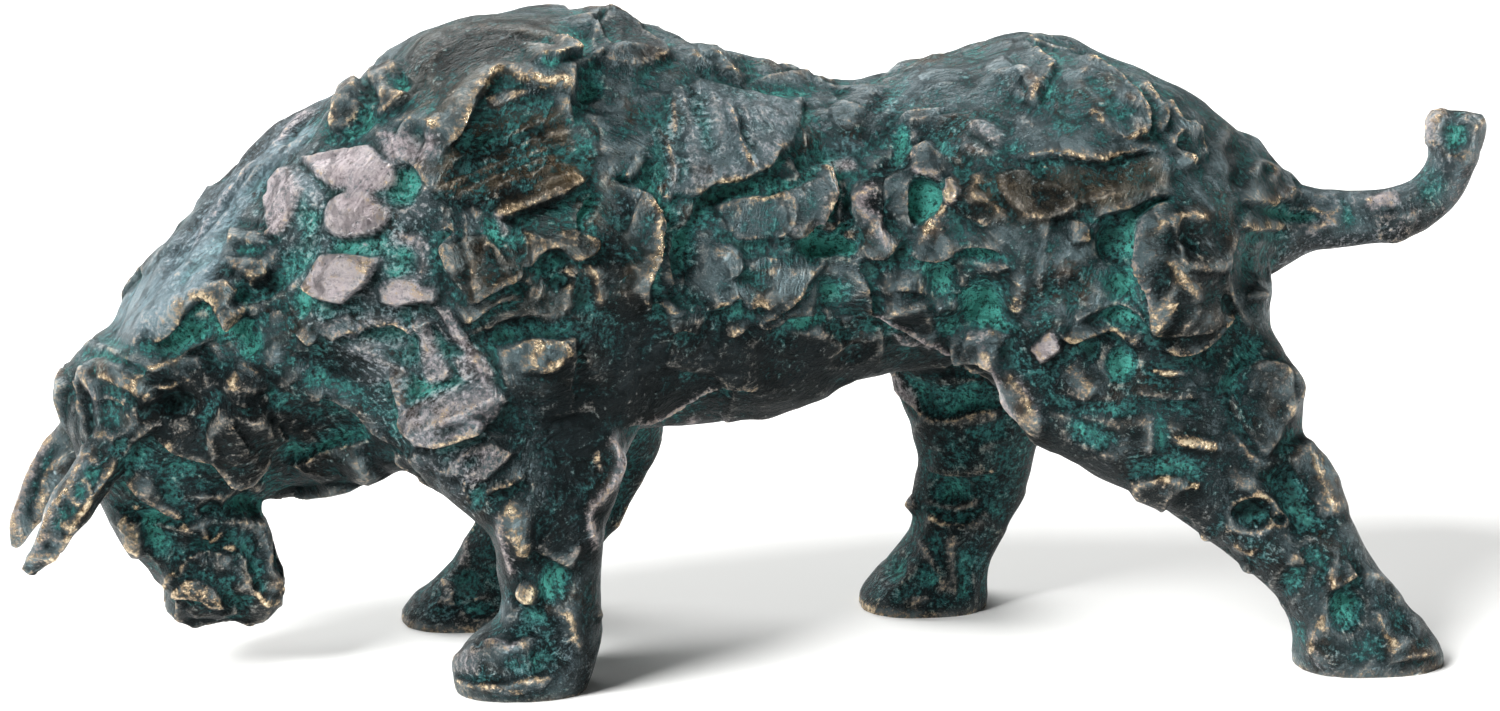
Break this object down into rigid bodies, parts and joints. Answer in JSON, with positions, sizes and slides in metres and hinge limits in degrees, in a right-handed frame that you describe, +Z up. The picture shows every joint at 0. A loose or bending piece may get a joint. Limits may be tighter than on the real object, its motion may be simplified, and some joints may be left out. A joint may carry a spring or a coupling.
{
  "type": "bull sculpture",
  "caption": "Cast bronze bull sculpture, walking with lowered head, long forward horns and a raised tail; rough slab-built surface with a green patina.",
  "frame": {"origin": "under the centre of the bull's box, on the plane of its four soles", "axes": "+X from the head to the tail, so the bull faces -X; -Y is its left side; +Z up"},
  "size_m": [0.302, 0.084, 0.132],
  "materials": {
    "patinated_bronze": null
  },
  "bodies": {
    "root": {"bull": "patinated_bronze"}
  },
  "joints": []
}
